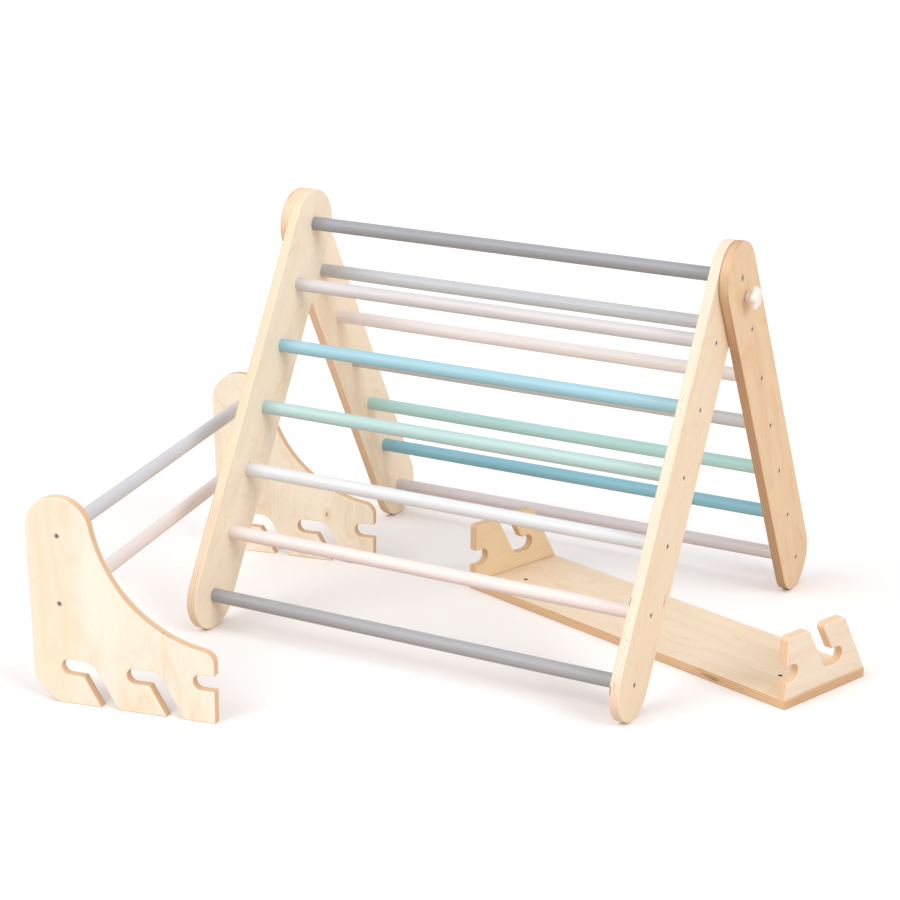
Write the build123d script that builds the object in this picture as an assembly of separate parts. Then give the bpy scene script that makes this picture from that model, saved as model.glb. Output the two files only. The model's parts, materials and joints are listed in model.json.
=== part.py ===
"""Folding climbing triangle with a hook-on stand and a hook-on shelf, in birch plywood and dowel.

Millimetres, +Z up, +X along the rungs, -Y towards the front ladder's feet.
Every sub-part is written to parts/NAME.step.
"""
from build123d import *
from math import atan2, cos, hypot, pi, radians, sin, sqrt, tan
import os

os.makedirs("parts", exist_ok=True)

# stock
ply = 18.0                   # plywood thickness, all boards
cut_over = 20.0              # open-ended cuts run on past an edge by this much
edge_round = 2.0             # round-over along every plywood edge
dowel = 25.0                 # rung diameter
dowel_chamfer = 1.0          # broken edge at a rung's ends

# ladders
rung_pitch = 118.0           # along a ladder, from rung to rung
rung_count = 6               # rungs below the pivot on each ladder
rail_width = 126.0           # a rail's ends are half circles of this width
clear_width = 804.0          # between the front ladder's rails
rail_gap = 0.4               # running gap between a front rail and the rear rail beside it
lean = 30.0                  # each ladder from the vertical, degrees
housing_depth = 8.0          # a rung's end sits this deep in its rail
housing_play = 0.05          # radial room of a rung in its housing

# flat-head furniture bolts into threaded inserts
bolt_shank = 6.0
bolt_head = 9.0
bolt_head_depth = 2.6
bolt_length = 45.0
bolt_sink = 0.4              # head below the plywood's face
socket_size = 4.0            # hexagon key, across flats
socket_depth = 2.2
insert_outer = 10.0
insert_length = 16.0
insert_tip_room = 4.0        # drilled on past the bolt's tip
tip_bore_play = 0.5          # radial room of a bolt in a rung, past its insert
thread_play = 0.05           # radial room of a bolt in its insert or bush
shank_play = 0.3             # radial room of a bolt's shank in plywood

# pivot at the top rung
pivot_shank = 8.0
pivot_head = 12.0
pivot_length = 70.0
pivot_insert_outer = 12.0
pivot_head_room = 0.35       # round the turning head
bush_wall = 2.0

# clamping knobs, one on each rear rail
knob_drop = 42.5             # from the pivot down the rear rail's centre line
stud_diameter = 8.0
knob_insert_outer = 12.0
washer_outer = 15.0          # hidden behind the stem
washer_play = 0.5            # radial room of the stud in its washer
washer_thickness = 1.5
seat_gap = 0.3               # rail to washer, and washer to knob
stem_diameter = 17.0
stem_length = 8.5
knob_diameter = 44.0
knob_thickness = 14.0
knob_lobes = 5
knob_turn = 16.0             # first lobe, round from the rail's downward line
lobe_radius = 7.5
hub_reach = 1.0              # the knob's hub reaches this far past its lobes' centres
knob_round = 2.5
stud_in_knob = 16.0          # length of stud moulded into the knob

# stand: two shaped cheeks joined by two rungs
stand_play = 4.0             # each side, between a cheek and the front rail beside it
cheek_length = 331.0
cheek_height = 360.0
head_radius = 58.0
back_lean = 7.0              # the back edge runs in this much towards the foot
hollow_radius = 235.0        # concave front edge
nose_height = 122.5
nose_round = 22.0
heel_cut = 38.0              # 45 degree cut at the back foot
heel_round = 40.0
toe_round = 30.0             # where the heel's cut meets the lower edge
hook_play = 2.0              # a hook slot is this much wider than a rung
first_seat = 70.5            # first hook seat from the back edge
seat_height = 64.5
notch_height = 70.0          # centre of the open notch in the nose
lip_length = 27.0            # from a seat's centre to the end of its lip
hook_bend_round = 30.0
hook_angle = 30.0            # a hook's neck from the upright, in the stand and the shelf
stand_rung_height = 294.0    # upper rung of the stand
stand_x, stand_y, stand_yaw = -494.2, -765.5, 10.6    # foot of the front cheek's back edge

# shelf: a board with a hooked bracket on each end
board_length = 760.0
board_width = 214.0
bracket_height = 110.0
bracket_hook_play = 5.0      # its slots are this much wider than a rung
bracket_seat_height = 45.0   # seats above the board
notch_seat = 16.0            # notch seat from the board's front edge
bracket_post = 56.2          # top of the front post, before its rounding
bracket_bend_round = 20.0
post_round = 8.0
horn_round = 12.0
wood_screw_shank = 5.0
wood_screw_head = 10.0
wood_screw_head_depth = 3.0
wood_screw_length = 42.0
wood_screw_places = (62.0, 186.0)
peg_diameter = 8.0
peg_length = 30.0
peg_places = (32.0, 126.0)
top_screw_inset = 73.0       # dark socket screw on the board, from its end
top_screw_place = 77.0       # and from its front edge
top_screw_head = 8.5
top_screw_length = 15.0
shelf_x, shelf_y, shelf_yaw = 623.5, -192.3, -18.6   # front corner at the right-hand end

# worked out
dowel_radius = dowel / 2
rail_span = rung_pitch * rung_count
pivot_height = rail_span * cos(radians(lean)) + rail_width / 2
front_inner = clear_width / 2
front_outer = front_inner + ply
rear_inner = front_outer + rail_gap
rear_outer = rear_inner + ply
hook_slope = tan(radians(hook_angle))
stand_width = clear_width - 2 * stand_play
hook_width = dowel + hook_play
bracket_hook_width = dowel + bracket_hook_play
rung_bolt_reach = bolt_length + bolt_sink - (ply - housing_depth)    # past the rung's end
pivot_head_depth = (pivot_head - pivot_shank) / 2
pivot_head_seat = bolt_sink + pivot_head_depth + pivot_head_room     # recess that the head turns in
bush_outer = pivot_shank + 2 * bush_wall
bush_length = ply - pivot_head_seat
sides = {"left": -1, "right": 1}

nodes = {}


def along_x(shape, side=1):
    """Turn a shape built along +Z so that it points along +X, or -X for side -1."""
    return Rot(0, 90 * side, 0) * shape


def rod(diameter, length):
    """A round rod from z = 0 down to -length."""
    return Cylinder(diameter / 2, length, align=(Align.CENTER, Align.CENTER, Align.MAX))


def flat_head_profile(shank, head, head_depth, length):
    """A flat-head bolt without its socket: head face at z = 0, shank downwards."""
    cone = Cone(shank / 2, head / 2, head_depth, align=(Align.CENTER, Align.CENTER, Align.MAX))
    return cone + rod(shank, length)


def flat_head_bolt(shank, head, head_depth, length):
    key = extrude(RegularPolygon(socket_size / 2, 6, major_radius=False), -socket_depth)
    return flat_head_profile(shank, head, head_depth, length) - key


def flat_head_hole(shank, head, head_depth, depth, play):
    """The room for a sunk bolt: from the plywood's face at z = 0 downwards."""
    cone = flat_head_profile(shank + 2 * play, head + 2 * play, head_depth, depth)
    return Pos(0, 0, -bolt_sink) * cone + rod(head + 2 * play, bolt_sink)


def threaded_insert(outer, inner, length):
    return rod(outer, length) - rod(inner, length)


def rounded_edges(part, axis):
    """Round the edges of a flat part's two large faces, which are square to the axis."""
    faces = part.faces().filter_by(axis).sort_by(axis)
    return fillet(faces[0].edges() + faces[-1].edges(), edge_round)


def rung(clear_length, insert_size, bolt_size, bolt_reach):
    """A dowel along X with a stepped bore in each end for the insert and the bolt's tip."""
    length = clear_length + 2 * housing_depth
    body = along_x(Cylinder(dowel_radius, length))
    body = chamfer(body.edges().filter_by(GeomType.CIRCLE), dowel_chamfer)
    bore = rod(insert_size, insert_length) + rod(bolt_size + 2 * tip_bore_play, bolt_reach + insert_tip_room)
    for side in sides.values():
        body -= Pos(side * length / 2, 0, 0) * along_x(bore, side)
    return body


def rail_blank():
    """A rail hanging down -Z from the pivot, its thickness along +X from x = 0."""
    outline = Plane.YZ * Pos(0, -rail_span / 2) * Rot(0, 0, 90) * SlotCenterToCenter(rail_span, rail_width)
    return rounded_edges(extrude(outline, ply), Axis.X)


def at_rung(index):
    return Pos(0, 0, -index * rung_pitch)


def lean_ladder(shape, direction):
    """Turn a ladder's piece about the pivot and lift it to its height."""
    return Pos(0, 0, pivot_height) * Rot(direction * lean, 0, 0) * shape


def rail_with_holes(inner_face, side, has_pivot_housing):
    """A rail on one side of its ladder, housed for the rungs and sunk for their bolts."""
    rail = rail_blank()
    first = 0 if has_pivot_housing else 1
    housing = along_x(rod(dowel + 2 * housing_play, housing_depth), -1)
    hole = Pos(ply, 0, 0) * along_x(
        flat_head_hole(bolt_shank, bolt_head, bolt_head_depth, ply, shank_play))
    for index in range(first, rung_count + 1):
        rail -= at_rung(index) * housing
        if index > 0:
            rail -= at_rung(index) * hole
    if has_pivot_housing:
        rail -= Pos(ply, 0, 0) * along_x(rod(pivot_shank + 2 * thread_play, ply))
    else:
        rail -= pivot_hole() + knob_hole()
    if side < 0:
        rail = mirror(rail, Plane.YZ)
    return Pos(side * inner_face, 0, 0) * rail


def pivot_hole():
    """Stepped hole in a rear rail for the pivot's bush and the bolt's head."""
    recess = rod(pivot_head + 2 * pivot_head_room, pivot_head_seat)
    bore = rod(bush_outer, ply)
    return Pos(ply, 0, 0) * along_x(recess + bore)


def knob_hole():
    return Pos(ply, 0, -knob_drop) * along_x(rod(knob_insert_outer, ply))


def bolts_and_inserts(inner_face, name):
    """The bolts at both ends of a ladder's six plain rungs, and the inserts they screw into."""
    bolts, inserts = [], []
    for side in sides.values():
        outer_face = side * (inner_face + ply - bolt_sink)
        rung_end = side * (inner_face + housing_depth)
        for index in range(1, rung_count + 1):
            bolt = flat_head_bolt(bolt_shank, bolt_head, bolt_head_depth, bolt_length)
            insert = threaded_insert(insert_outer, bolt_shank + 2 * thread_play, insert_length)
            bolts.append(at_rung(index) * Pos(outer_face, 0, 0) * along_x(bolt, side))
            inserts.append(at_rung(index) * Pos(rung_end, 0, 0) * along_x(insert, side))
    return {name + "_rung_bolts": bolts, name + "_rung_inserts": inserts}


def ladder(name, inner_face, direction, has_pivot_rung):
    """One ladder: rails, rungs, bolts and inserts, leant and lifted to the pivot's height."""
    pieces = {}
    for side_name, side in sides.items():
        pieces[name + "_rail_" + side_name] = rail_with_holes(inner_face, side, has_pivot_rung)
    plain = rung(2 * inner_face, insert_outer, bolt_shank, rung_bolt_reach)
    for index in range(1, rung_count + 1):
        pieces[name + "_rung_" + str(index)] = at_rung(index) * plain
    pieces.update(bolts_and_inserts(inner_face, name))
    for key, shape in pieces.items():
        if isinstance(shape, list):
            nodes[key] = [lean_ladder(one, direction) for one in shape]
        else:
            nodes[key] = lean_ladder(shape, direction)


def pivot():
    """Top rung, its inserts and bolts, and the bushes they turn in."""
    bolt_head_face = rear_outer - bolt_sink
    bolt_reach = pivot_length - (bolt_head_face - front_inner - housing_depth)
    top = rung(clear_width, pivot_insert_outer, pivot_shank, bolt_reach)
    nodes["pivot_rung"] = lean_ladder(top, -1)
    inserts = []
    for side_name, side in sides.items():
        bolt = flat_head_bolt(pivot_shank, pivot_head, pivot_head_depth, pivot_length)
        nodes["pivot_bolt_" + side_name] = lean_ladder(
            Pos(side * bolt_head_face, 0, 0) * along_x(bolt, side), -1)
        insert = threaded_insert(pivot_insert_outer, pivot_shank + 2 * thread_play, insert_length)
        rung_end = side * (front_inner + housing_depth)
        inserts.append(lean_ladder(Pos(rung_end, 0, 0) * along_x(insert, side), -1))
        bush = threaded_insert(bush_outer, pivot_shank + 2 * thread_play, bush_length)
        nodes["pivot_bush_" + side_name] = lean_ladder(
            Pos(side * (rear_inner + bush_length), 0, 0) * along_x(bush, side), 1)
    nodes["pivot_rung_inserts"] = inserts


def star_knob():
    """Lobed knob on a round stem, pointing up +Z from the stem's foot, with a blind hole below."""
    lobe_circle = knob_diameter / 2 - lobe_radius
    outline = Circle(lobe_circle + hub_reach)
    for index in range(knob_lobes):
        lobe = Pos(lobe_circle, 0) * Circle(lobe_radius)
        outline += Rot(0, 0, knob_turn + index * 360 / knob_lobes) * lobe
    outline = fillet(outline.vertices(), lobe_radius / 2)
    head = fillet(extrude(outline, knob_thickness).edges(), knob_round)
    stem = Cylinder(stem_diameter / 2, stem_length, align=(Align.CENTER, Align.CENTER, Align.MIN))
    body = Pos(0, 0, stem_length) * head + stem
    return body - Pos(0, 0, stud_in_knob) * rod(stud_diameter, stud_in_knob)


def clamps():
    """A knob, its stud and washer, and the threaded insert, on each rear rail."""
    for side_name, side in sides.items():
        def place(shape, x):
            return lean_ladder(Pos(side * x, 0, -knob_drop) * along_x(shape, side), 1)
        insert = threaded_insert(knob_insert_outer, stud_diameter + 2 * thread_play, ply)
        washer = threaded_insert(washer_outer, stud_diameter + 2 * washer_play, washer_thickness)
        washer_face = rear_outer + seat_gap + washer_thickness
        knob_foot = washer_face + seat_gap
        stud = rod(stud_diameter, knob_foot + stud_in_knob - rear_inner)
        nodes["knob_insert_" + side_name] = place(insert, rear_outer)
        nodes["knob_washer_" + side_name] = place(washer, washer_face)
        nodes["knob_" + side_name] = place(star_knob(), knob_foot)
        nodes["knob_stud_" + side_name] = place(stud, knob_foot + stud_in_knob)


def hook_slot(seat_x, seat_z, width, lip, bend_round, floor_z, turn):
    """A boomerang slot: a round seat, a level run and a sloping neck to the open edge.

    turn is +1 where the neck runs down to floor_z and -1 where it runs up to it.
    """
    half = width / 2
    lip_x, lip_z = seat_x + turn * lip, seat_z - turn * half
    mouth_shift = (lip_z - floor_z) * hook_slope
    neck = width / cos(radians(hook_angle))
    outer_x = lip_x - turn * width * hook_slope + turn * neck
    corners = [(seat_x, lip_z), (lip_x, lip_z), (lip_x + mouth_shift, floor_z),
               (lip_x + mouth_shift + turn * neck, floor_z), (outer_x, lip_z + turn * width),
               (seat_x, lip_z + turn * width)]
    shape = make_face(Polyline(*corners, close=True))
    bend = shape.vertices().sort_by_distance((outer_x, lip_z + turn * width))[0]
    return fillet(bend, bend_round) + Pos(seat_x, seat_z) * Circle(half)


def edge_notch(seat_x, seat_z, width, edge_x):
    """A level notch with a round end, open at edge_x."""
    run = Pos((seat_x + edge_x) / 2, seat_z) * Rectangle(abs(edge_x - seat_x), width)
    return run + Pos(seat_x, seat_z) * Circle(width / 2)


def cheek():
    """A stand cheek in its own plane, x forwards and y up, from the back foot."""
    head = (head_radius, cheek_height - head_radius)
    nose = (cheek_length, nose_height)
    across, up = nose[0] - head[0], nose[1] - head[1]
    gap = hypot(across, up)
    reach = head_radius + hollow_radius
    along = (reach ** 2 - hollow_radius ** 2 + gap ** 2) / (2 * gap)
    off = sqrt(reach ** 2 - along ** 2)
    hollow = (head[0] + (along * across - off * up) / gap, head[1] + (along * up + off * across) / gap)
    meet = tuple(h + (c - h) * head_radius / reach for h, c in zip(head, hollow))
    low = atan2(nose[1] - hollow[1], nose[0] - hollow[0])
    high = atan2(meet[1] - hollow[1], meet[0] - hollow[0])
    middle = (low + high + (2 * pi if high > 0 else 0)) / 2
    dip = (hollow[0] + hollow_radius * cos(middle), hollow[1] + hollow_radius * sin(middle))
    turn = atan2(meet[1] - head[1], meet[0] - head[0])
    crown_angle = (turn + pi) / 2
    crown = (head[0] + head_radius * cos(crown_angle), head[1] + head_radius * sin(crown_angle))
    outline = make_face(
        Line((0, head[1]), (back_lean, heel_cut))
        + Line((back_lean, heel_cut), (back_lean + heel_cut, 0))
        + Line((back_lean + heel_cut, 0), (cheek_length, 0))
        + Line((cheek_length, 0), nose)
        + ThreePointArc(nose, dip, meet)
        + ThreePointArc(meet, crown, (0, head[1])))
    heel = outline.vertices().sort_by_distance((back_lean, heel_cut))[0]
    outline = fillet(heel, heel_round)
    toe = outline.vertices().sort_by_distance((back_lean + heel_cut, 0))[0]
    outline = fillet(toe, toe_round)
    front = outline.vertices().sort_by_distance(nose)[0]
    outline = fillet(front, nose_round)
    for index in range(2):
        outline -= hook_slot(first_seat + index * rung_pitch, seat_height, hook_width, lip_length,
                             hook_bend_round, -cut_over, 1)
    notch_x = first_seat + 2 * rung_pitch
    return outline - edge_notch(notch_x, notch_height, hook_width, cheek_length + cut_over)


def upright(outline):
    """Stand a flat outline up in the XZ plane and give it the plywood's thickness along +Y."""
    return rounded_edges(extrude(Plane.XZ * outline, -ply), Axis.Y)


def stand():
    """Cheeks, rungs, bolts and inserts of the stand, where it stands beside the frame."""
    place = Pos(stand_x, stand_y, 0) * Rot(0, 0, stand_yaw)
    clear = stand_width - 2 * ply
    heights = {"upper": stand_rung_height, "lower": stand_rung_height - rung_pitch}
    plate = upright(cheek())
    housing = Pos(0, ply, 0) * Rot(-90, 0, 0) * rod(dowel + 2 * housing_play, housing_depth)
    hole = Rot(90, 0, 0) * flat_head_hole(bolt_shank, bolt_head, bolt_head_depth, ply, shank_play)
    bolts, inserts = [], []
    for name, height in heights.items():
        spot = Pos(head_radius, 0, height)
        plate -= spot * (housing + hole)
        bar = Rot(0, 0, 90) * rung(clear, insert_outer, bolt_shank, rung_bolt_reach)
        nodes["stand_rung_" + name] = place * spot * Pos(0, stand_width / 2, 0) * bar
        for near in (1, -1):
            turn = Rot(90 * near, 0, 0)
            face = stand_width / 2 * (1 - near)
            bolt = flat_head_bolt(bolt_shank, bolt_head, bolt_head_depth, bolt_length)
            insert = threaded_insert(insert_outer, bolt_shank + 2 * thread_play, insert_length)
            bolts.append(place * spot * Pos(0, face + near * bolt_sink, 0) * turn * bolt)
            inserts.append(place * spot * Pos(0, face + near * (ply - housing_depth), 0) * turn * insert)
    nodes["stand_cheek_front"] = place * plate
    nodes["stand_cheek_back"] = place * Pos(0, stand_width, 0) * mirror(plate, Plane.XZ)
    nodes["stand_bolts"] = bolts
    nodes["stand_rung_inserts"] = inserts


def bracket():
    """A shelf bracket in its own plane, x from the board's front edge and y up from its top."""
    horn = board_width - bracket_height * hook_slope
    neck = bracket_hook_width / cos(radians(hook_angle))
    outline = make_face(Polyline((0, 0), (board_width, 0), (horn, bracket_height), (0, bracket_height),
                                 close=True))
    seat_x = notch_seat + rung_pitch
    lip = seat_x - (bracket_post + neck + (bracket_height - bracket_seat_height
                                           - bracket_hook_width / 2) * hook_slope)
    outline -= hook_slot(seat_x, bracket_seat_height, bracket_hook_width, lip, bracket_bend_round,
                         bracket_height + cut_over, -1)
    outline -= edge_notch(notch_seat, bracket_seat_height, bracket_hook_width, -cut_over)
    corners = {(0, bracket_height): post_round, (bracket_post, bracket_height): post_round,
               (bracket_post + neck, bracket_height): post_round, (horn, bracket_height): horn_round}
    for corner, radius in corners.items():
        outline = fillet(outline.vertices().sort_by_distance(corner)[0], radius)
    return outline


def shelf():
    """Board, brackets, screws and pegs of the shelf, where it lies under the frame."""
    place = Pos(shelf_x, shelf_y, 0) * Rot(0, 0, shelf_yaw) * Pos(-board_length, 0, 0)
    board = Pos(board_length / 2, board_width / 2, ply / 2) * Box(board_length, board_width, ply)
    board = rounded_edges(board, Axis.Z)
    plate = Pos(0, 0, ply) * Rot(0, 0, 90) * Pos(0, -ply, 0) * upright(bracket())
    screw = flat_head_bolt(wood_screw_shank, wood_screw_head, wood_screw_head_depth, wood_screw_length)
    pilot = flat_head_hole(wood_screw_shank, wood_screw_head, wood_screw_head_depth, wood_screw_length, 0)
    peg = Cylinder(peg_diameter / 2, peg_length)
    top_screw = flat_head_bolt(bolt_shank, top_screw_head, bolt_head_depth, top_screw_length)
    top_hole = flat_head_hole(bolt_shank, top_screw_head, bolt_head_depth, top_screw_length, 0)
    screws, pegs, top_screws = [], [], []
    for side_name, end_x in {"left": 0, "right": board_length - ply}.items():
        piece = Pos(end_x, 0, 0) * plate
        middle_x = end_x + ply / 2
        for y in wood_screw_places:
            spot = Pos(middle_x, y, 0) * Rot(180, 0, 0)
            board -= spot * pilot
            piece -= spot * pilot
            screws.append(place * spot * Pos(0, 0, -bolt_sink) * screw)
        for y in peg_places:
            spot = Pos(middle_x, y, ply) * peg
            board -= spot
            piece -= spot
            pegs.append(place * spot)
        inset = top_screw_inset if side_name == "left" else board_length - top_screw_inset
        spot = Pos(inset, top_screw_place, ply)
        board -= spot * top_hole
        top_screws.append(place * spot * Pos(0, 0, -bolt_sink) * top_screw)
        nodes["shelf_bracket_" + side_name] = place * piece
    nodes["shelf_board"] = place * board
    nodes["shelf_screws"] = screws
    nodes["shelf_pegs"] = pegs
    nodes["board_top_screws"] = top_screws


def whole_box():
    shapes = [one for node in nodes.values() for one in (node if isinstance(node, list) else [node])]
    boxes = [shape.bounding_box() for shape in shapes]
    low = [min(getattr(box.min, axis) for box in boxes) for axis in "XYZ"]
    high = [max(getattr(box.max, axis) for box in boxes) for axis in "XYZ"]
    return low, high


ladder("front", front_inner, -1, True)
ladder("rear", rear_inner, 1, False)
pivot()
clamps()
stand()
shelf()

# the origin is the middle of the whole row's footprint, on the floor
low, high = whole_box()
centre = Pos(-(low[0] + high[0]) / 2, -(low[1] + high[1]) / 2, 0)
print("footprint shift", round(-(low[0] + high[0]) / 2, 3), round(-(low[1] + high[1]) / 2, 3))
print("pivot height", round(pivot_height, 3), "size", [round(b - a, 2) for a, b in zip(low, high)])
for name, node in nodes.items():
    shape = Compound(children=[centre * one for one in node]) if isinstance(node, list) else centre * node
    export_step(shape, "parts/" + name + ".step")
print(len(nodes), "nodes")
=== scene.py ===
import math
import bpy
import json
import numpy as np
from mathutils import Matrix, Vector


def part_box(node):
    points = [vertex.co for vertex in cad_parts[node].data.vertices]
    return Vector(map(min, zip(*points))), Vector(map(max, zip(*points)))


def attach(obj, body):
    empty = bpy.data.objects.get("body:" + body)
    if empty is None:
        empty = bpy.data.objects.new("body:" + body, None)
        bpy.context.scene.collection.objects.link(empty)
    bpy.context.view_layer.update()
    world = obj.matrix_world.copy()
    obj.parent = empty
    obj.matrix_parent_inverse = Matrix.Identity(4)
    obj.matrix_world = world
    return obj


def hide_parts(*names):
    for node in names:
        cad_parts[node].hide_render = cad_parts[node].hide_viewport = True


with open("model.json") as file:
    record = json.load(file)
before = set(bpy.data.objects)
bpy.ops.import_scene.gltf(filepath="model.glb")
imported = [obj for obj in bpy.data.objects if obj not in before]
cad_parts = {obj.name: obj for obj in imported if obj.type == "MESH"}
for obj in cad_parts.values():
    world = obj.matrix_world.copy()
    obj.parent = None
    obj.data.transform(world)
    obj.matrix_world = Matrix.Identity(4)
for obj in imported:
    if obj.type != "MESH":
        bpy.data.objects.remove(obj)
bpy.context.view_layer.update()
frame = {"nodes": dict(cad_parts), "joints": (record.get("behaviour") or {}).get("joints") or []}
nodes = frame["nodes"]
joints = {joint["name"]: joint for joint in frame["joints"]}
print("frame loaded:", len(nodes), "nodes")


def linearColour(hexText):
    # sRGB hex to linear: each channel c/255, then c/12.92 below 0.04045, else ((c+0.055)/1.055)^2.4
    channels = np.array([int(hexText[i:i + 2], 16) for i in (1, 3, 5)]) / 255
    low, high = channels / 12.92, ((channels + 0.055) / 1.055) ** 2.4
    return (*np.where(channels < 0.04045, low, high).tolist(), 1.0)


def addNode(tree, kind, settings=None, values=None, links=None):
    # one shader node: its settings, then its sockets' own values, then what feeds them
    node = tree.nodes.new("ShaderNode" + kind)
    for name, value in (settings or {}).items():
        setattr(node, name, value)
    for socket, value in (values or {}).items():
        node.inputs[socket].default_value = value
    for socket, source in (links or {}).items():
        tree.links.new(source, node.inputs[socket])
    return node


def newMaterial(name):
    # an empty node material; the caller adds its nodes
    material = bpy.data.materials.new(name)
    material.use_nodes = True
    material.node_tree.nodes.clear()
    return material, material.node_tree


def finishMaterial(tree, shader):
    # the shader alone makes the surface
    addNode(tree, "OutputMaterial", links={"Surface": shader.outputs["BSDF"]})


def dress(nodeName, material):
    # give a carried-over node one material on every face
    mesh = nodes[nodeName].data
    mesh.materials.clear()
    mesh.materials.append(material)


# where the view is taken from, in metres and degrees
view = {"position": (1.78468, -3.44878, 1.59667), "azimuth": 27.9895, "elevation": 17.7455,
        "roll": 0.63636, "focalPerWidth": 2.603778, "farthest": 100.0}


def makeCamera():
    # turn = azimuth about Z, then 90 - elevation about X, then roll about the line of sight;
    # lens = sensor width * focal length over width
    camera = bpy.data.objects.new("camera", bpy.data.cameras.new("camera"))
    bpy.context.scene.collection.objects.link(camera)
    azimuth, elevation = math.radians(view["azimuth"]), math.radians(view["elevation"])
    turn = Matrix.Rotation(azimuth, 4, "Z") @ Matrix.Rotation(math.pi / 2 - elevation, 4, "X")
    turn = turn @ Matrix.Rotation(math.radians(view["roll"]), 4, "Z")
    camera.matrix_world = Matrix.Translation(Vector(view["position"])) @ turn
    camera.data.lens = camera.data.sensor_width * view["focalPerWidth"]
    camera.data.clip_end = view["farthest"]
    bpy.context.scene.camera = camera


makeCamera()
print("camera made")

# a bright paper studio
studio = {"floorColour": "#F9F7F8", "bounceColour": "#D8CBC1", "floorSize": 80.0,
          "skyColour": "#FFFDFC", "skyStrength": 0.79}
softLights = {
    "frontLeftLight": {"towards": (-0.55, -1.0, 0.95), "strength": 1.25, "angle": 40.0},
    "rightLight": {"towards": (1.0, -0.25, 0.75), "strength": 1.08, "angle": 32.0},
}


def makeFloor():
    # one square of matt white paper, half its side out each way; it throws less light back on the
    # object than it shows to the camera, so that undersides stay darker than tops
    half = studio["floorSize"] / 2
    mesh = bpy.data.meshes.new("floor")
    corners = [(-half, -half, 0), (half, -half, 0), (half, half, 0), (-half, half, 0)]
    mesh.from_pydata(corners, [], [(0, 1, 2, 3)])
    floor = bpy.data.objects.new("floor", mesh)
    bpy.context.scene.collection.objects.link(floor)
    material, tree = newMaterial("mattPaperFloor")
    path = addNode(tree, "LightPath")
    seen = addNode(tree, "BsdfDiffuse", values={"Color": linearColour(studio["floorColour"])})
    bounced = addNode(tree, "BsdfDiffuse", values={"Color": linearColour(studio["bounceColour"])})
    shader = addNode(tree, "MixShader", links={
        0: path.outputs["Is Camera Ray"], 1: bounced.outputs[0], 2: seen.outputs[0]})
    addNode(tree, "OutputMaterial", links={"Surface": shader.outputs[0]})
    mesh.materials.append(material)


def makeLights():
    # an even pale surround and wide suns; each sun's own Z axis is turned towards its direction
    world = bpy.data.worlds.new("surround")
    world.use_nodes = True
    background = world.node_tree.nodes["Background"]
    background.inputs["Color"].default_value = linearColour(studio["skyColour"])
    background.inputs["Strength"].default_value = studio["skyStrength"]
    bpy.context.scene.world = world
    for name, facts in softLights.items():
        light = bpy.data.objects.new(name, bpy.data.lights.new(name, "SUN"))
        bpy.context.scene.collection.objects.link(light)
        light.data.energy = facts["strength"]
        light.data.angle = math.radians(facts["angle"])
        light.rotation_euler = Vector(facts["towards"]).to_track_quat("Z", "Y").to_euler()
    bpy.context.scene.view_settings.view_transform = "Standard"


makeFloor()
makeLights()
print("studio made")

# Clear-lacquered rotary-cut birch plywood: pale cream faces with wide faint loops of figure, fine
# fibre and short brown flecks; on the edges light and brown plies in turn, with a few dark gaps.
# Lengths are along the grain and widths across it, in mm; a range runs from where a pattern starts
# to show to where it is full, and a shade from its darkest to its lightest.
birch = {
    "faceRange": (0.45, 0.85), "seedStep": (137.0, 59.0), "throughPerMm": 0.01,
    "figureLength": 330.0, "figureWidth": 80.0, "figureLines": 4.0, "figureRange": (0.1, 1.0),
    "fibreLength": 90.0, "fibreWidth": 1.4, "noiseRange": (0.3, 0.7), "fibreShade": (0.965, 1.02),
    "cloudLength": 160.0, "cloudWidth": 45.0,
    "growthLines": 15.0, "growthDepth": 0.15, "growthRange": (0.6, 1.0),
    "growthCloud": (0.35, 0.6), "growthColour": "#E0BD90",
    "fleckLength": 11.0, "fleckWidth": 2.4, "fleckDepth": 0.42, "fleckRange": (0.765, 0.85),
    "fleckColour": "#D8AE80",
    "plyStripe": 2.0, "plyWander": 0.9, "plyRange": (-0.95, 0.35),
    "layerLength": 260.0, "layerPerMm": 0.42, "layerShade": (0.9, 1.06),
    "markRange": (1.15, 0.6), "index": 1.5, "roughness": 0.46, "coat": 0.12,
    "coatRoughness": 0.35, "bump": 0.12, "bumpHeight": 0.0002}


def plateFrame(origin, grain, through):
    # rows are the plate's grain, across = through x grain, and through; the origin is in metres
    grain, through = Vector(grain).normalized(), Vector(through).normalized()
    across = through.cross(grain)
    return Matrix((grain, across, through)), Vector(origin)


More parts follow.
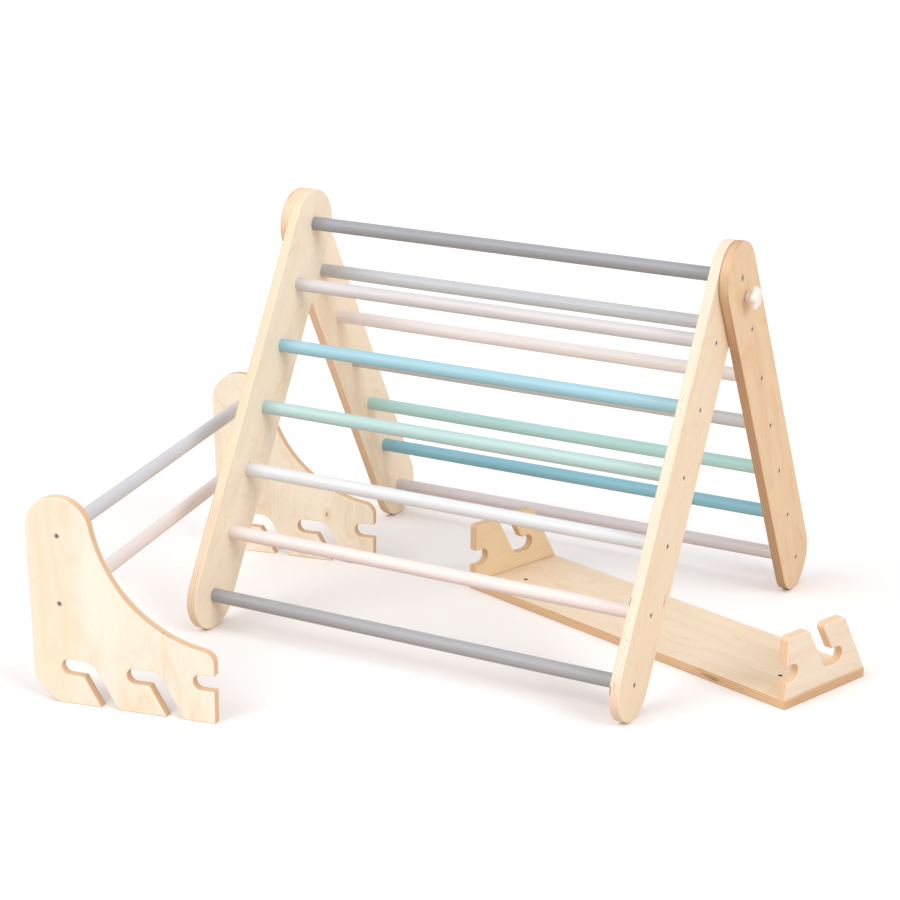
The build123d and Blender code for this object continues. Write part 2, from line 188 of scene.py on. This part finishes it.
def makeBirch(name, placed, tone):
    # the plate's own millimetres come from Object coordinates, turned and centred by Mapping nodes;
    # |normal . through| picks the face or the edge, the face is pale to warm by a cloud and darkened
    # by sines of one long noise, and the edge is brown to pale by cos(pi * depth / ply)
    material, tree = newMaterial(name)
    turn, origin = placed
    angles = turn.to_euler("XYZ")
    coordinates = addNode(tree, "TexCoord")
    local = addNode(tree, "Mapping", {"vector_type": "POINT"}, {
        "Location": -1000 * (turn @ origin), "Rotation": angles, "Scale": (1000, 1000, 1000)},
        {"Vector": coordinates.outputs["Object"]}).outputs[0]
    facing = addNode(tree, "Mapping", {"vector_type": "VECTOR"}, {"Rotation": angles},
                     {"Vector": coordinates.outputs["Normal"]}).outputs[0]
    axes = addNode(tree, "SeparateXYZ", links={0: local}).outputs
    faceAxis = addNode(tree, "SeparateXYZ", links={0: facing}).outputs["Z"]
    faceShare = addNode(tree, "Math", {"operation": "ABSOLUTE"}, links={0: faceAxis}).outputs[0]
    low, high = birch["faceRange"]
    isFace = addNode(tree, "MapRange", {"interpolation_type": "SMOOTHSTEP"},
                     {"From Min": low, "From Max": high}, {"Value": faceShare}).outputs[0]

    # faint loops: contour lines of a long smooth noise
    seedShift = (tone["seed"] * birch["seedStep"][0], tone["seed"] * birch["seedStep"][1], 0)
    figurePlace = addNode(tree, "Mapping", {"vector_type": "POINT"}, {
        "Location": seedShift,
        "Scale": (1 / birch["figureLength"], 1 / birch["figureWidth"], birch["throughPerMm"])},
        {"Vector": local}).outputs[0]
    figure = addNode(tree, "TexNoise", {"noise_dimensions": "3D"},
                     {"Scale": 1.0, "Detail": 2.0, "Roughness": 0.45, "Distortion": 0.3},
                     {"Vector": figurePlace}).outputs[0]
    figureTurns = addNode(tree, "Math", {"operation": "MULTIPLY"}, {1: birch["figureLines"] * math.tau},
                          {0: figure}).outputs[0]
    figureWave = addNode(tree, "Math", {"operation": "SINE"}, links={0: figureTurns}).outputs[0]
    low, high = birch["figureRange"]
    figureDark = addNode(tree, "MapRange", {"interpolation_type": "SMOOTHSTEP"},
                         {"From Min": low, "From Max": high, "To Max": tone["figure"]},
                         {"Value": figureWave}).outputs[0]

    # fibre: very long thin noise along the grain
    fibrePlace = addNode(tree, "Mapping", {"vector_type": "POINT"}, {
        "Location": seedShift,
        "Scale": (1 / birch["fibreLength"], 1 / birch["fibreWidth"], 1 / birch["fibreWidth"])},
        {"Vector": local}).outputs[0]
    fibre = addNode(tree, "TexNoise", values={"Scale": 1.0, "Detail": 3.0, "Roughness": 0.6},
                    links={"Vector": fibrePlace}).outputs[0]
    cloudPlace = addNode(tree, "Mapping", {"vector_type": "POINT"}, {
        "Location": seedShift,
        "Scale": (1 / birch["cloudLength"], 1 / birch["cloudWidth"], birch["throughPerMm"])},
        {"Vector": local}).outputs[0]
    cloud = addNode(tree, "TexNoise", values={"Scale": 1.0, "Detail": 2.0},
                    links={"Vector": cloudPlace}).outputs[0]
    faceColour = addNode(tree, "MixRGB", {"blend_type": "MIX"}, {
        1: linearColour(tone["pale"]), 2: linearColour(tone["warm"])}, {0: cloud}).outputs[0]
    faceColour = addNode(tree, "MixRGB", {"blend_type": "MULTIPLY"}, {2: linearColour(tone["line"])},
                         {0: figureDark, 1: faceColour}).outputs[0]
    # fine growth lines on the same loops, coming and going with the clouding
    growthTurns = addNode(tree, "Math", {"operation": "MULTIPLY"}, {1: birch["growthLines"] * math.tau},
                          {0: figure}).outputs[0]
    growthWave = addNode(tree, "Math", {"operation": "SINE"}, links={0: growthTurns}).outputs[0]
    low, high = birch["growthRange"]
    growthThin = addNode(tree, "MapRange", {"interpolation_type": "SMOOTHSTEP"}, {
        "From Min": low, "From Max": high, "To Max": birch["growthDepth"] * tone["growth"]},
        {"Value": growthWave}).outputs[0]
    low, high = birch["growthCloud"]
    growthMask = addNode(tree, "MapRange", {"interpolation_type": "SMOOTHSTEP"},
                         {"From Min": low, "From Max": high}, {"Value": cloud}).outputs[0]
    growthShare = addNode(tree, "Math", {"operation": "MULTIPLY"},
                          links={0: growthThin, 1: growthMask}).outputs[0]
    faceColour = addNode(tree, "MixRGB", {"blend_type": "MULTIPLY"}, {
        2: linearColour(birch["growthColour"])}, {0: growthShare, 1: faceColour}).outputs[0]

    # short brown pith flecks, thinly strewn along the grain
    fleckPlace = addNode(tree, "Mapping", {"vector_type": "POINT"}, {
        "Location": seedShift,
        "Scale": (1 / birch["fleckLength"], 1 / birch["fleckWidth"], 1 / birch["fleckWidth"])},
        {"Vector": local}).outputs[0]
    fleck = addNode(tree, "TexNoise", values={"Scale": 1.0, "Detail": 0.0},
                    links={"Vector": fleckPlace}).outputs[0]
    low, high = birch["fleckRange"]
    fleckShare = addNode(tree, "MapRange", {"interpolation_type": "SMOOTHSTEP"},
                         {"From Min": low, "From Max": high, "To Max": birch["fleckDepth"]},
                         {"Value": fleck}).outputs[0]
    faceColour = addNode(tree, "MixRGB", {"blend_type": "MULTIPLY"}, {
        2: linearColour(birch["fleckColour"])}, {0: fleckShare, 1: faceColour}).outputs[0]
    low, high = birch["noiseRange"]
    dark, light = birch["fibreShade"]
    fibreShade = addNode(tree, "MapRange", values={
        "From Min": low, "From Max": high, "To Min": dark, "To Max": light},
        links={"Value": fibre}).outputs[0]

    # plies seen on an edge: light and brown in turn, one stripe each, wandering a little along the
    # plate, each with its own strength and with sawn fibre running through it
    wander = addNode(tree, "Math", {"operation": "MULTIPLY"}, {1: birch["plyWander"]},
                     {0: cloud}).outputs[0]
    depth = addNode(tree, "Math", {"operation": "ADD"}, links={0: axes["Z"], 1: wander}).outputs[0]
    halfTurns = addNode(tree, "Math", {"operation": "MULTIPLY"}, {1: math.pi / birch["plyStripe"]},
                        {0: depth}).outputs[0]
    stripe = addNode(tree, "Math", {"operation": "COSINE"}, links={0: halfTurns}).outputs[0]
    low, high = birch["plyRange"]
    stripeShare = addNode(tree, "MapRange", {"interpolation_type": "SMOOTHSTEP"},
                          {"From Min": low, "From Max": high}, {"Value": stripe}).outputs[0]
    edgeColour = addNode(tree, "MixRGB", {"blend_type": "MIX"}, {
        1: linearColour(tone["edgeBrown"]), 2: linearColour(tone["edgePale"])},
        {0: stripeShare}).outputs[0]
    layerPlace = addNode(tree, "Mapping", {"vector_type": "POINT"}, {
        "Location": seedShift,
        "Scale": (1 / birch["layerLength"], 1 / birch["layerLength"], birch["layerPerMm"])},
        {"Vector": local}).outputs[0]
    layer = addNode(tree, "TexNoise", values={"Scale": 1.0, "Detail": 3.0, "Roughness": 0.65},
                    links={"Vector": layerPlace}).outputs[0]
    low, high = birch["noiseRange"]
    dark, light = birch["layerShade"]
    layerShade = addNode(tree, "MapRange", values={
        "From Min": low, "From Max": high, "To Min": dark, "To Max": light},
        links={"Value": layer}).outputs[0]
    edgeColour = addNode(tree, "MixRGB", {"blend_type": "MULTIPLY"}, {0: 1.0},
                         {1: edgeColour, 2: layerShade}).outputs[0]
    colour = addNode(tree, "MixRGB", {"blend_type": "MIX"},
                     links={0: isFace, 1: edgeColour, 2: faceColour}).outputs[0]
    colour = addNode(tree, "MixRGB", {"blend_type": "MULTIPLY"}, {0: 1.0},
                     {1: colour, 2: fibreShade}).outputs[0]

    # single marks, each an ellipsoid that fades out at its rim: gaps between plies, flecks, knots
    low, high = birch["markRange"]
    for mark in tone.get("marks", []):
        offset = addNode(tree, "VectorMath", {"operation": "SUBTRACT"}, {1: mark["at"]},
                         {0: local}).outputs[0]
        scaled = addNode(tree, "VectorMath", {"operation": "DIVIDE"}, {1: mark["size"]},
                         {0: offset}).outputs[0]
        away = addNode(tree, "VectorMath", {"operation": "LENGTH"}, links={0: scaled}).outputs["Value"]
        share = addNode(tree, "MapRange", {"interpolation_type": "SMOOTHSTEP"},
                        {"From Min": low, "From Max": high, "To Max": mark["strength"]},
                        {"Value": away}).outputs[0]
        colour = addNode(tree, "MixRGB", {"blend_type": "MIX"}, {2: linearColour(mark["colour"])},
                         {0: share, 1: colour}).outputs[0]

    bump = addNode(tree, "Bump", values={"Strength": birch["bump"], "Distance": birch["bumpHeight"]},
                   links={"Height": fibre})
    shader = addNode(tree, "BsdfPrincipled", values={
        "Roughness": birch["roughness"], "IOR": birch["index"], "Coat Weight": birch["coat"],
        "Coat Roughness": birch["coatRoughness"]}, links={"Base Color": colour, "Normal": bump.outputs[0]})
    finishMaterial(tree, shader)
    return material


def middle(nodeName):
    # centre of a carried-over piece's box: (low corner + high corner) / 2, in metres
    low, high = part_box(nodeName)
    return (low + high) / 2


# directions: down each ladder from the pivot rung to the lowest rung, through the stand's cheeks,
# and along and across the shelf
up = Vector((0, 0, 1))
frontDown = (middle("front_rung_6") - middle("pivot_rung")).normalized()
rearDown = (middle("rear_rung_6") - middle("pivot_rung")).normalized()
standThrough = Vector(joints["stand_draw_out"]["axis"]).cross(up)
shelfAlong = Vector(joints["shelf_draw_out"]["axis"])
shelfAcross = shelfAlong.cross(up)
paleTone = {"pale": "#FCEEDB", "warm": "#F8E5CC", "line": "#F0DCC0", "figure": 0.13, "growth": 1.0,
            "edgePale": "#E8C7A2", "edgeBrown": "#D9AE84"}
void, scorch, knot = "#6B4526", "#8A5A34", "#A87B50"

# grain and through directions, then what sets the plate apart, partly the wood's own tone and
# partly painted light and shade; a mark's place and half sizes are (along, across, through) in mm
# from the plate's middle
plates = {
    # the front rails' edges are drawn paler than the others: partly the plies' own colour, partly painted
    # light where the lamps fall full on them
    "front_rail_left": (frontDown, (1, 0, 0), dict(
        paleTone, seed=1, pale="#F4EBD8", warm="#F4E2CA", edgePale="#F3DCC2", edgeBrown="#E2BE98",
        marks=[{"at": (66, -12, 9), "size": (3, 2.4, 3), "colour": knot, "strength": 0.45}])),
    "front_rail_right": (frontDown, (1, 0, 0), dict(
        paleTone, seed=2, pale="#F1E1CA", warm="#EED9BC", edgePale="#F4DECA", edgeBrown="#EBCDB2",
        marks=[{"at": (228, -63, -7.4), "size": (9, 3, 1.0), "colour": void, "strength": 0.85},
               {"at": (291, -63, 1.9), "size": (2.2, 3, 0.7), "colour": void, "strength": 0.7},
               {"at": (303, -63, 1.4), "size": (6, 3, 0.35), "colour": scorch, "strength": 0.7},
               {"at": (313, -63, 1.2), "size": (5, 3, 0.4), "colour": scorch, "strength": 0.5},
               {"at": (368, -61, -0.9), "size": (10, 5, 0.6), "colour": scorch, "strength": 0.75},
               {"at": (376, -59, -7.0), "size": (11, 6, 1.1), "colour": void, "strength": 0.8},
               {"at": (-260, -63, 5.1), "size": (4, 3, 0.4), "colour": scorch, "strength": 0.5},
               {"at": (-120, -63, -1.3), "size": (7, 3, 0.5), "colour": scorch, "strength": 0.6},
               {"at": (-100, -63, 0.2), "size": (5, 3, 0.5), "colour": scorch, "strength": 0.6},
               {"at": (201, 44, 9), "size": (14, 1.5, 2), "colour": scorch, "strength": 0.75},
               {"at": (207, 46.5, 9), "size": (9, 0.8, 2), "colour": void, "strength": 0.5},
               {"at": (222, 25, 9), "size": (2.6, 1.3, 2), "colour": scorch, "strength": 0.5}])),
    "rear_rail_left": (rearDown, (1, 0, 0), dict(
        paleTone, seed=3, pale="#F9ECD6", warm="#F9E3C8", edgePale="#F2D6B8", edgeBrown="#DDB58E",
        marks=[{"at": (-417, 1, -4.6), "size": (4, 14, 0.7), "colour": scorch, "strength": 0.7},
               {"at": (40, -63, -5.3), "size": (12, 3, 0.7), "colour": void, "strength": 0.6}])),
    # this rail's faces and edges are drawn darker and browner than the others: partly the wood's own tone,
    # partly painted shade, most on its edges that face front and down
    "rear_rail_right": (rearDown, (1, 0, 0), dict(
        paleTone, seed=4, pale="#E8CEAA", warm="#E3C39B", line="#E2BC8C", edgePale="#CBA680",
        edgeBrown="#B58D67", marks=[
            {"at": (-400, -45, 0), "size": (150, 75, 8.6), "colour": "#EBCBA6", "strength": 0.45}])),
    "stand_cheek_front": ((0, 0, 1), standThrough, dict(
        paleTone, seed=5, figure=0.24, growth=0.9, pale="#F9EFE1", warm="#F8E6D2", marks=[
            {"at": (0, -118, -9), "size": (420, 46, 30), "colour": "#F7DFBF", "strength": 0.38},
            {"at": (20, -34, -9), "size": (120, 42, 6), "colour": "#FFF5E8", "strength": 0.5},
            {"at": (-33, 75, -4.8), "size": (4, 4, 1.0), "colour": void, "strength": 0.8},
            {"at": (-38, 85, -5.9), "size": (4, 4, 0.9), "colour": void, "strength": 0.8}])),
    "stand_cheek_back": ((0, 0, 1), standThrough, dict(
        paleTone, seed=6, figure=0.2, growth=0.9, pale="#F9F2E1", warm="#F9EAD3", marks=[
            {"at": (-85, 70, -9), "size": (16, 9, 6), "colour": "#E9C79C", "strength": 0.45},
            {"at": (-85.5, 70, -9), "size": (5, 2.6, 4), "colour": knot, "strength": 0.75}])),
    "shelf_bracket_left": (shelfAcross, shelfAlong, dict(
        paleTone, seed=7, pale="#F4DEBB", warm="#F1D5AE", edgePale="#E8C7A2", edgeBrown="#D6AA80")),
    "shelf_bracket_right": (shelfAcross, shelfAlong, dict(
        paleTone, seed=8, pale="#EDE0CE", warm="#E9D8C2", edgePale="#EFD3B2", edgeBrown="#E0B891")),
    "shelf_board": (shelfAlong, (0, 0, 1), dict(
        paleTone, seed=9, pale="#F0DDC5", warm="#ECD4B7", edgePale="#EDCDA4", edgeBrown="#D5A880",
        marks=[{"at": (-160, -107, 6.6), "size": (7, 4, 0.7), "colour": void, "strength": 0.7},
               {"at": (-130, -107, 5.6), "size": (5, 4, 0.6), "colour": scorch, "strength": 0.7},
               {"at": (2, -107, 2.1), "size": (5, 4, 0.5), "colour": void, "strength": 0.7},
               {"at": (192, -107, 6.0), "size": (4, 4, 0.9), "colour": void, "strength": 0.75},
               {"at": (202, -107, 5.6), "size": (4, 4, 0.8), "colour": void, "strength": 0.75},
               {"at": (218, -107, -0.5), "size": (24, 4, 3.4), "colour": scorch, "strength": 0.5},
               {"at": (224, -107, -3.4), "size": (12, 4, 1.2), "colour": void, "strength": 0.6},
               {"at": (381, 0, 0), "size": (4, 140, 16), "colour": "#B98F68", "strength": 0.45},
               {"at": (285, -107, -0.9), "size": (7, 4, 0.6), "colour": scorch, "strength": 0.7}])),
}
for nodeName, (grain, through, tone) in plates.items():
    placed = plateFrame(middle(nodeName), grain, through)
    dress(nodeName, makeBirch("birchPlywood_" + nodeName, placed, tone))
print("plates dressed")

# Water-based satin paint, thin, over a turned beech dowel: even colour, a low wide gloss, and the
# dowel's long fibres and the brush showing through faintly.
paints = {
    "pivot_rung": "#9B9DA3", "front_rung_1": "#D3CFD0", "front_rung_2": "#9EC9D8",
    "front_rung_3": "#B4D1D0", "front_rung_4": "#DDE0E3", "front_rung_5": "#EDDFDC",
    "front_rung_6": "#A5A5A9", "rear_rung_1": "#CBCED2", "rear_rung_2": "#F2EAE9",
    "rear_rung_3": "#CCCDD0", "rear_rung_4": "#B4DFDE", "rear_rung_5": "#89C1D5",
    "rear_rung_6": "#D8D0D4", "stand_rung_upper": "#CCCDD3", "stand_rung_lower": "#E6DBD9"}
paintDetail = {"streakLength": 120.0, "streakWidth": 2.2, "streakRange": (0.3, 0.7),
               "shade": (0.925, 1.04), "bump": 0.10, "bumpHeight": 0.0002, "index": 1.48,
               "roughness": 0.42}


def makePaint(name, colourHex, along):
    # paint colour times a shade from a noise stretched along the rung, streakLength by streakWidth mm
    material, tree = newMaterial(name)
    turn, _ = plateFrame((0, 0, 0), along, (0, 0, 1))
    coordinates = addNode(tree, "TexCoord")
    width, length = paintDetail["streakWidth"], paintDetail["streakLength"]
    local = addNode(tree, "Mapping", {"vector_type": "POINT"}, {
        "Rotation": turn.to_euler("XYZ"), "Scale": (1000, 1000, 1000)},
        {"Vector": coordinates.outputs["Object"]}).outputs[0]
    place = addNode(tree, "Mapping", {"vector_type": "POINT"}, {
        "Scale": (1 / length, 1 / width, 1 / width)}, {"Vector": local}).outputs[0]
    streak = addNode(tree, "TexNoise", values={"Scale": 1.0, "Detail": 4.0, "Roughness": 0.6},
                     links={"Vector": place}).outputs[0]
    low, high = paintDetail["streakRange"]
    dark, light = paintDetail["shade"]
    shade = addNode(tree, "MapRange", values={
        "From Min": low, "From Max": high, "To Min": dark, "To Max": light},
        links={"Value": streak}).outputs[0]
    colour = addNode(tree, "MixRGB", {"blend_type": "MULTIPLY"}, {0: 1.0, 1: linearColour(colourHex)},
                     {2: shade}).outputs[0]
    bump = addNode(tree, "Bump", values={
        "Strength": paintDetail["bump"], "Distance": paintDetail["bumpHeight"]}, links={"Height": streak})
    shader = addNode(tree, "BsdfPrincipled", values={
        "Roughness": paintDetail["roughness"], "IOR": paintDetail["index"]},
        links={"Base Color": colour, "Normal": bump.outputs[0]})
    finishMaterial(tree, shader)
    return material


for nodeName, colourHex in paints.items():
    along = standThrough if nodeName.startswith("stand") else (1, 0, 0)
    dress(nodeName, makePaint("satinPaint_" + nodeName, colourHex, along))
print("rungs painted")

# Zinc-plated steel bolts and screws: a cool pale grey with a tight sheen; three groups, because the
# painted shade on the walls of their sockets follows each group's own axis
# socket is the colour of the painted shade laid on the hexagon sockets' walls
zincPlated = {"colour": "#C6C8CC", "metallic": 1.0, "roughness": 0.32, "socket": "#2B2724"}
smallParts = {
    "zincPlatedSteelAcross": dict(zincPlated, axis=(1, 0, 0), nodes=[
        "front_rung_bolts", "rear_rung_bolts", "pivot_bolt_left", "pivot_bolt_right"]),
    "zincPlatedSteelStand": dict(zincPlated, axis=tuple(standThrough), nodes=["stand_bolts"]),
    "zincPlatedSteelShelf": dict(zincPlated, axis=tuple(shelfAlong), nodes=["shelf_screws"]),
    # zinc-plated steel stampings and studs: paler, with a wide soft sheen
    "zincPlatedSteelSatin": {"colour": "#E6E6E8", "metallic": 1.0, "roughness": 0.5, "nodes": [
        "knob_washer_left", "knob_washer_right", "knob_stud_left", "knob_stud_right"]},
    # blackened steel: dark warm grey, dull
    "blackenedSteel": {"colour": "#5A544E", "metallic": 1.0, "roughness": 0.45,
                       "nodes": ["board_top_screws"]},
    # turned brass: yellow, with the tightest sheen of the metals
    "turnedBrass": {"colour": "#C9A25C", "metallic": 1.0, "roughness": 0.28, "nodes": [
        "front_rung_inserts", "rear_rung_inserts", "pivot_rung_inserts", "stand_rung_inserts",
        "knob_insert_left", "knob_insert_right"]},
    # turned nylon, undyed: cream, with a broad weak sheen
    "turnedNylon": {"colour": "#ECEAE2", "metallic": 0.0, "roughness": 0.5,
                    "nodes": ["pivot_bush_left", "pivot_bush_right"]},
    # beech pegs without finish: warm and matt
    "rawBeech": {"colour": "#D9B88E", "metallic": 0.0, "roughness": 0.7, "nodes": ["shelf_pegs"]},
}
grainDetail = {"perMetre": 2500, "roughnessSpread": 0.08, "shade": (0.94, 1.04),
               "wallRange": (0.75, 0.35)}


def makeSmallPart(name, facts):
    # colour and roughness vary a little with a 0.4 mm noise, drawn coarser than real tool marks so
    # that it shows; the share of painted shade on a socket's walls rises as |normal . axis| falls
    material, tree = newMaterial(name)
    coordinates = addNode(tree, "TexCoord")
    place = addNode(tree, "Mapping", values={"Scale": (grainDetail["perMetre"],) * 3},
                    links={"Vector": coordinates.outputs["Object"]}).outputs[0]
    grain = addNode(tree, "TexNoise", values={"Scale": 1.0, "Detail": 2.0},
                    links={"Vector": place}).outputs[0]
    spread = grainDetail["roughnessSpread"]
    rough = addNode(tree, "MapRange", values={
        "To Min": facts["roughness"] - spread, "To Max": facts["roughness"] + spread},
        links={"Value": grain}).outputs[0]
    dark, light = grainDetail["shade"]
    shade = addNode(tree, "MapRange", values={"To Min": dark, "To Max": light},
                    links={"Value": grain}).outputs[0]
    colour = addNode(tree, "MixRGB", {"blend_type": "MULTIPLY"}, {
        0: 1.0, 1: linearColour(facts["colour"])}, {2: shade}).outputs[0]
    if "socket" in facts:
        # walls of the hexagon socket stand along the bolt's axis; they get painted shade, coloured dark
        # because little light comes back out of a hole that small; the shank's side gets the same painted
        # shade, and is inside the wood
        along = addNode(tree, "VectorMath", {"operation": "DOT_PRODUCT"}, {1: facts["axis"]},
                        {0: coordinates.outputs["Normal"]}).outputs["Value"]
        size = addNode(tree, "Math", {"operation": "ABSOLUTE"}, links={0: along}).outputs[0]
        low, high = grainDetail["wallRange"]
        wall = addNode(tree, "MapRange", values={"From Min": low, "From Max": high},
                       links={"Value": size}).outputs[0]
        colour = addNode(tree, "MixRGB", {"blend_type": "MIX"}, {2: linearColour(facts["socket"])},
                         {0: wall, 1: colour}).outputs[0]
    shader = addNode(tree, "BsdfPrincipled", values={"Metallic": facts["metallic"]},
                     links={"Base Color": colour, "Roughness": rough})
    finishMaterial(tree, shader)
    return material


for name, facts in smallParts.items():
    material = makeSmallPart(name, facts)
    for nodeName in facts["nodes"]:
        dress(nodeName, material)
print("fastenings dressed")

# clamping knobs, in mm out from the foot of the stem and in radius
knob = {"footProfile": [(0.0, 2.0), (0.0, 5.0), (0.0, 7.6), (0.15, 8.2)], "stemRadius": 8.5,
        "stemFrom": 0.5, "stemFirst": 0.9, "stemTo": 8.3, "stemSteps": 24, "grooveAt": 4.6,
        "grooveDepth": 0.4, "grooveWidth": 0.35, "headFrom": 8.5, "neckRadius": 9.4, "lobesFrom": 9.0,
        "headMiddle": 15.5, "headHalf": 7.0, "meanRadius": 19.2, "headSteps": 46, "lobe": 2.4,
        "lobes": 5, "lobeTurn": 10.0, "curve": 2.9, "around": 160}


def makeKnob(nodeName, foot, outwards):
    # the profile (distance out, radius) in mm: a flat foot, a straight stem with one fine groove, then
    # half a superellipse |a/half|^n + |r/mean|^n = 1; the radius is then swelled by
    # 1 + lobe/mean * cos(lobes * (angle - turn)), fading to nothing towards the stem and the crown
    base = np.array([*knob["footProfile"], (knob["stemFrom"], knob["stemRadius"])])
    stem = np.linspace(knob["stemFirst"], knob["stemTo"], knob["stemSteps"])
    groove = knob["grooveDepth"] * np.exp(-((stem - knob["grooveAt"]) / knob["grooveWidth"]) ** 2)
    stem = np.stack([stem, knob["stemRadius"] - groove], 1)
    power = 2 / knob["curve"]
    start = math.asin((knob["neckRadius"] / knob["meanRadius"]) ** (1 / power))
    angle = np.linspace(start, math.pi, knob["headSteps"])[:-1]
    inwards = np.sign(np.cos(angle)) * np.abs(np.cos(angle)) ** power
    head = np.stack([knob["headMiddle"] - knob["headHalf"] * inwards,
                     knob["meanRadius"] * np.sin(angle) ** power], 1)
    profile = np.concatenate([base, stem, head])
    count, around = len(profile), knob["around"]
    turn = np.arange(around) * 2 * math.pi / around
    share = (profile[:, 1] - knob["lobesFrom"]) / (knob["meanRadius"] - knob["lobesFrom"])
    share = np.clip(share, 0, 1)
    share = share * share * (3 - 2 * share) * (profile[:, 0] > knob["headFrom"])
    swell = 1 + knob["lobe"] / knob["meanRadius"] * share[:, None] * np.cos(
        knob["lobes"] * (turn - math.radians(knob["lobeTurn"])))[None, :]
    radius = profile[:, 1, None] * swell
    out = np.repeat(profile[:, 0, None], around, 1) * outwards
    rings = np.stack([out, -radius * np.sin(turn), radius * np.cos(turn)], 2).reshape(-1, 3)
    poles = np.array([[0, 0, 0], [outwards * (knob["headMiddle"] + knob["headHalf"]), 0, 0]])
    points = np.concatenate([rings, poles]) / 1000 + np.array(foot)
    row, step = np.meshgrid(np.arange(count - 1), np.arange(around), indexing="ij")
    after = (step + 1) % around
    quads = np.stack([row * around + step, row * around + after,
                      (row + 1) * around + after, (row + 1) * around + step], 2).reshape(-1, 4)
    first, last = np.arange(around), (count - 1) * around + np.arange(around)
    nearCap = np.stack([np.full(around, count * around), np.roll(first, -1), first], 1)
    farCap = np.stack([last, np.roll(last, -1), np.full(around, count * around + 1)], 1)
    faces = quads.tolist() + nearCap.tolist() + farCap.tolist()
    if outwards < 0:
        faces = [face[::-1] for face in faces]
    mesh = bpy.data.meshes.new(nodeName + "_look")
    mesh.from_pydata(points.tolist(), [], faces)
    mesh.polygons.foreach_set("use_smooth", np.ones(len(faces), dtype=bool))
    piece = bpy.data.objects.new(nodeName + "_look", mesh)
    bpy.context.scene.collection.objects.link(piece)
    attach(piece, nodeName)
    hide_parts(nodeName)
    return piece


# off-white ABS, moulded with a fine texture: a satin skin with faint warm shading; the texture is
# drawn coarser than real, near 0.6 mm, so that it shows
mouldedAbs = {"shaded": "#EFEAE4", "pale": "#F8F5F1", "texturePerMetre": 1800, "cloudPerMetre": 90,
              "bump": 0.15, "bumpHeight": 0.0001, "index": 1.54, "roughness": 0.38}


def makeMouldedAbs():
    # colour = shaded to pale by a broad noise; a fine noise raises the surface by bumpHeight
    material, tree = newMaterial("mouldedAbs")
    coordinates = addNode(tree, "TexCoord").outputs["Object"]
    fine = addNode(tree, "Mapping", values={"Scale": (mouldedAbs["texturePerMetre"],) * 3},
                   links={"Vector": coordinates}).outputs[0]
    texture = addNode(tree, "TexNoise", values={"Scale": 1.0, "Detail": 2.0},
                      links={"Vector": fine}).outputs[0]
    broad = addNode(tree, "Mapping", values={"Scale": (mouldedAbs["cloudPerMetre"],) * 3},
                    links={"Vector": coordinates}).outputs[0]
    cloud = addNode(tree, "TexNoise", values={"Scale": 1.0, "Detail": 2.0},
                    links={"Vector": broad}).outputs[0]
    colour = addNode(tree, "MixRGB", {"blend_type": "MIX"}, {
        1: linearColour(mouldedAbs["shaded"]), 2: linearColour(mouldedAbs["pale"])},
        {0: cloud}).outputs[0]
    bump = addNode(tree, "Bump", values={
        "Strength": mouldedAbs["bump"], "Distance": mouldedAbs["bumpHeight"]}, links={"Height": texture})
    shader = addNode(tree, "BsdfPrincipled", values={
        "Roughness": mouldedAbs["roughness"], "IOR": mouldedAbs["index"]},
        links={"Base Color": colour, "Normal": bump.outputs[0]})
    finishMaterial(tree, shader)
    return material


# each knob's turning joint sits at the foot of its stem and points outwards
knobSkin = makeMouldedAbs()
for side in ("right", "left"):
    joint = joints["knob_" + side + "_turn"]
    look = makeKnob("knob_" + side, joint["pos_m"], joint["axis"][0])
    look.data.materials.append(knobSkin)
print("knobs made")
